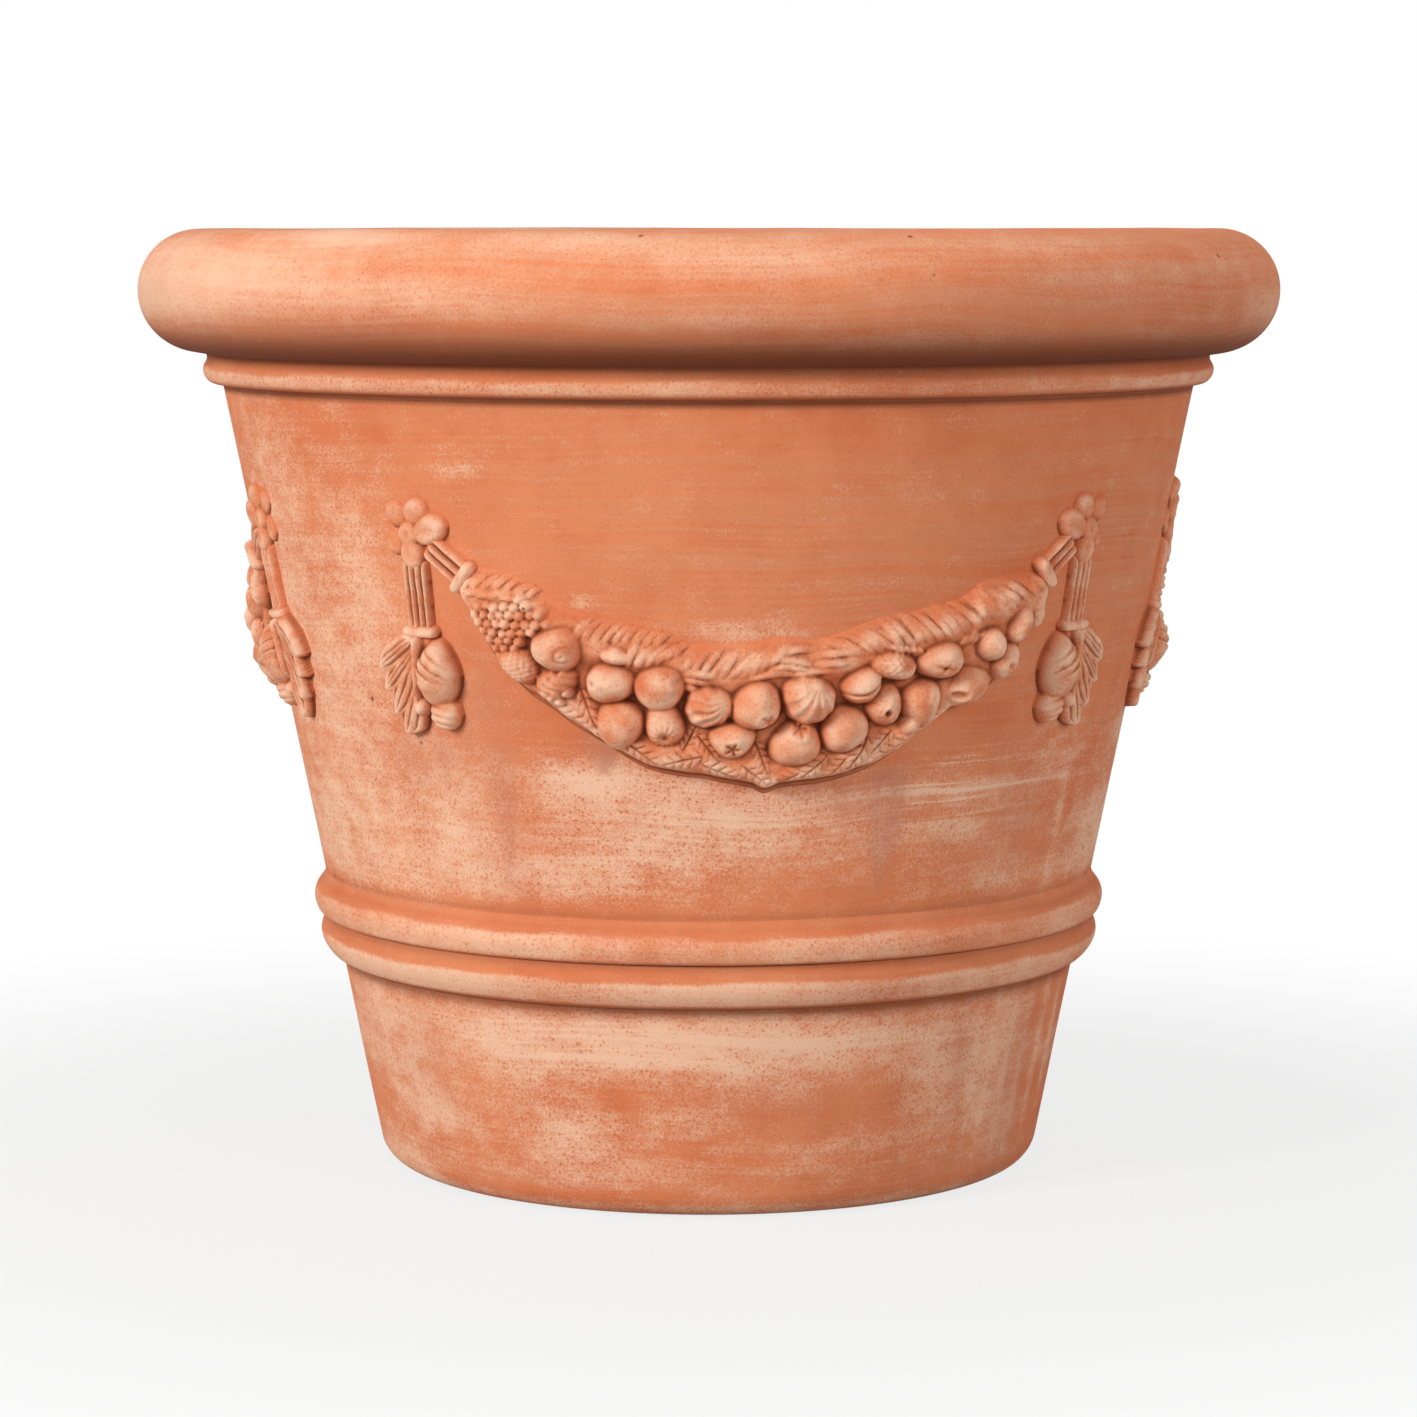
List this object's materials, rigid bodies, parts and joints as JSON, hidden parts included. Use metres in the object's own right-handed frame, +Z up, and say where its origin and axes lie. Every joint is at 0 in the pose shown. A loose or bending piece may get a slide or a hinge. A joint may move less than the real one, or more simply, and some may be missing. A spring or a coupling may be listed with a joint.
{
  "type": "terracotta flower pot",
  "caption": "Tapered round terracotta planter with a heavy rolled rim, moulded belts, fruit-and-leaf festoons in relief and a drain hole in its base.",
  "frame": {"origin": "on the pot's axis, at the ground under its base", "axes": "+Z up along the axis, front festoon towards -Y"},
  "size_m": [0.5999, 0.6, 0.4945],
  "materials": {
    "wall_clay": "matt fired clay with lime bloom",
    "rim_clay": "matt fired clay, brushed",
    "bead_clay": "matt fired clay with pale crests",
    "sprig_clay": "matt fired clay, pressed relief"
  },
  "bodies": {
    "root": {"base_slab": "wall_clay", "belt_bead_lower": "bead_clay", "belt_bead_upper": "bead_clay", "front_drop_band_left": "sprig_clay", "front_drop_band_right": "sprig_clay", "front_drop_leaves_left": "sprig_clay", "front_drop_leaves_right": "sprig_clay", "front_drop_stem_left": "sprig_clay", "front_drop_stem_right": "sprig_clay", "front_garland": "sprig_clay", "front_rosette_left": "sprig_clay", "front_rosette_right": "sprig_clay", "front_strap_band_left": "sprig_clay", "front_strap_band_right": "sprig_clay", "front_strap_left": "sprig_clay", "front_strap_right": "sprig_clay", "left_drop_band_left": "sprig_clay", "left_drop_band_right": "sprig_clay", "left_drop_leaves_left": "sprig_clay", "left_drop_leaves_right": "sprig_clay", "left_drop_stem_left": "sprig_clay", "left_drop_stem_right": "sprig_clay", "left_garland": "sprig_clay", "left_rosette_left": "sprig_clay", "left_rosette_right": "sprig_clay", "left_strap_band_left": "sprig_clay", "left_strap_band_right": "sprig_clay", "left_strap_left": "sprig_clay", "left_strap_right": "sprig_clay", "neck_bead": "bead_clay", "pot_wall": "wall_clay", "right_drop_band_left": "sprig_clay", "right_drop_band_right": "sprig_clay", "right_drop_leaves_left": "sprig_clay", "right_drop_leaves_right": "sprig_clay", "right_drop_stem_left": "sprig_clay", "right_drop_stem_right": "sprig_clay", "right_garland": "sprig_clay", "right_rosette_left": "sprig_clay", "right_rosette_right": "sprig_clay", "right_strap_band_left": "sprig_clay", "right_strap_band_right": "sprig_clay", "right_strap_left": "sprig_clay", "right_strap_right": "sprig_clay", "rolled_rim": "rim_clay"}
  },
  "joints": []
}
